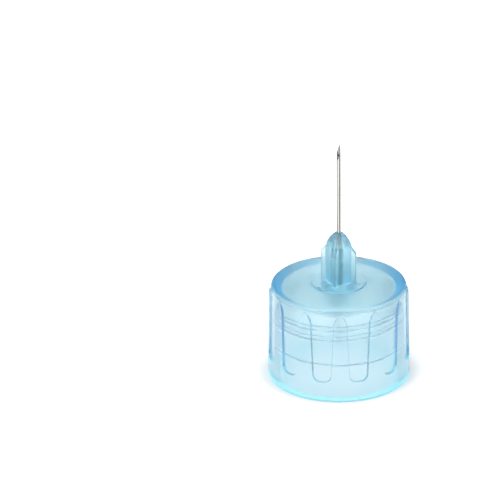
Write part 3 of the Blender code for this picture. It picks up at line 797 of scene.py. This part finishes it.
hub_mesh.materials.append(hub_plastic)
hub_mesh.shade_smooth()
hub_mesh.set_sharp_from_angle(angle=SHARP_ANGLE)
moulded_hub = bpy.data.objects.new("moulded_hub", hub_mesh)
bpy.context.scene.collection.objects.link(moulded_hub)
weighted = moulded_hub.modifiers.new("even_shading", 'WEIGHTED_NORMAL')
weighted.keep_sharp = True
bpy.context.view_layer.update()
evaluated = moulded_hub.evaluated_get(bpy.context.evaluated_depsgraph_get())
moulded_hub.data = bpy.data.meshes.new_from_object(evaluated)
moulded_hub.modifiers.clear()

# The skirt's irregular triangles would ripple what is seen through it, so it gets its true normals
NEARLY = 2e-7


def turned_normal(place):
    """The true normal of the skirt's turned outside at a point of it, or None elsewhere."""
    radius, height = math.hypot(place.x, place.y), place.z
    if not RIM_ROUNDING < height < neck_height:
        return None
    for surface in (skirt_radius, flute_floor):
        if abs(radius - surface(height)) < NEARLY:
            step = 0.01 * MM
            slope = (surface(height + step) - surface(height - step)) / (2 * step)
            return Vector((place.x / radius, place.y / radius, -slope)).normalized()
    return None


skin_mesh = moulded_hub.data
true_normals = [turned_normal(vertex.co) for vertex in skin_mesh.vertices]
corner_normals = [true_normals[loop.vertex_index] or corner.vector
                  for loop, corner in zip(skin_mesh.loops, skin_mesh.corner_normals)]
skin_mesh.normals_split_custom_set(corner_normals)
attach(moulded_hub, "root")
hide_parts("hub")

# Adhesive: the acrylic glue that holds the tube, run into the well of the post and cured by light.
# Here the solid itself is kept, because the frosted post hides its surface.

# Cured acrylic full of fine bubbles looks like pale teal sugar; painted light makes its right side a little
# paler.
# The real grains are finer, and are drawn as coarse as they need to show.
GRAIN_SIZE = 0.09 * MM
CLOUD_SIZE = 0.9 * MM
PAINTED_LIGHT_TO_RIGHT = 0.10 / (0.25 * MM)


def coat(node, material):
    """Gives a CAD solid its finish. The glue and the tube keep their solids' own shapes."""
    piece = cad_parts[node]
    for slot in piece.material_slots:
        slot.material = material
    if not piece.material_slots:
        piece.data.materials.append(material)


cured_glue = new_material("cured_acrylic_adhesive")
tree = cured_glue.node_tree
place = add_node(tree, "ShaderNodeTexCoord")
grain = add_node(tree, "ShaderNodeTexNoise", {
    "Vector": place.outputs["Object"], "Scale": 1 / GRAIN_SIZE, "Detail": 3.0, "Roughness": 0.65})
clouds = add_node(tree, "ShaderNodeTexNoise", {
    "Vector": place.outputs["Object"], "Scale": 1 / CLOUD_SIZE, "Detail": 1.0})
mottle = add_node(tree, "ShaderNodeMath", {0: clouds.outputs["Fac"], 1: 0.45, 2: grain.outputs["Fac"]},
                  operation='MULTIPLY_ADD')
# Painted light: the colour grows paler towards the glue's right side, as if lit from there.
side = add_node(tree, "ShaderNodeSeparateXYZ", {0: place.outputs["Object"]})
mottle = add_node(tree, "ShaderNodeMath", {0: side.outputs["X"], 1: PAINTED_LIGHT_TO_RIGHT, 2: mottle.outputs[0]},
                  operation='MULTIPLY_ADD')
colours = add_node(tree, "ShaderNodeValToRGB", {"Fac": mottle.outputs[0]})
stops = colours.color_ramp.elements
stops[0].position = 0.58
stops[0].color = linear("3A909E")
stops.new(0.72).color = linear("78BCC6")
lumps = add_node(tree, "ShaderNodeBump", {
    "Strength": 0.6, "Distance": 0.02 * MM, "Height": grain.outputs["Fac"]})
skin = add_node(tree, "ShaderNodeBsdfPrincipled", {
    "Base Color": colours.outputs[0], "Roughness": 0.45, "IOR": 1.5, "Transmission Weight": 0.10,
    "Normal": lumps.outputs[0]})
add_node(tree, "ShaderNodeOutputMaterial", {"Surface": skin.outputs[0]})
coat("adhesive", cured_glue)

# Cannula: the needle itself, a stainless steel tube drawn through dies and ground to a point at both ends.
# It runs down through the nose, the glue and the boss, and the glue holds it.

# Drawn stainless steel: the dies leave fine bright and dull lines down its length.
LINE_WIDTH = 0.16 * MM
LINE_LENGTH = 9 * MM
drawn_steel = new_material("drawn_stainless_steel")
tree = drawn_steel.node_tree
place = add_node(tree, "ShaderNodeTexCoord")
stretched = add_node(tree, "ShaderNodeVectorMath", {
    0: place.outputs["Object"], 1: (1 / LINE_WIDTH, 1 / LINE_WIDTH, 1 / LINE_LENGTH)}, operation='MULTIPLY')
lines = add_node(tree, "ShaderNodeTexNoise", {"Vector": stretched.outputs[0], "Scale": 1.0, "Detail": 3.0})
colours = add_node(tree, "ShaderNodeValToRGB", {"Fac": lines.outputs["Fac"]})
for stop, (position, colour) in zip(colours.color_ramp.elements, ((0.36, "A5A29F"), (0.62, "DEDEDC"))):
    stop.position = position
    stop.color = linear(colour)
dullness = add_node(tree, "ShaderNodeMapRange", {
    "Value": lines.outputs["Fac"], "To Min": 0.34, "To Max": 0.16})
skin = add_node(tree, "ShaderNodeBsdfPrincipled", {
    "Base Color": colours.outputs[0], "Metallic": 1.0, "Roughness": dullness.outputs[0]})
add_node(tree, "ShaderNodeOutputMaterial", {"Surface": skin.outputs[0]})
coat("cannula", drawn_steel)

# Light crosses many faces of the clear hub before it reaches the camera
BOUNCES = 24
bpy.context.scene.cycles.max_bounces = BOUNCES
bpy.context.scene.cycles.glossy_bounces = BOUNCES
bpy.context.scene.cycles.transmission_bounces = BOUNCES
bpy.context.scene.view_settings.view_transform = 'Standard'
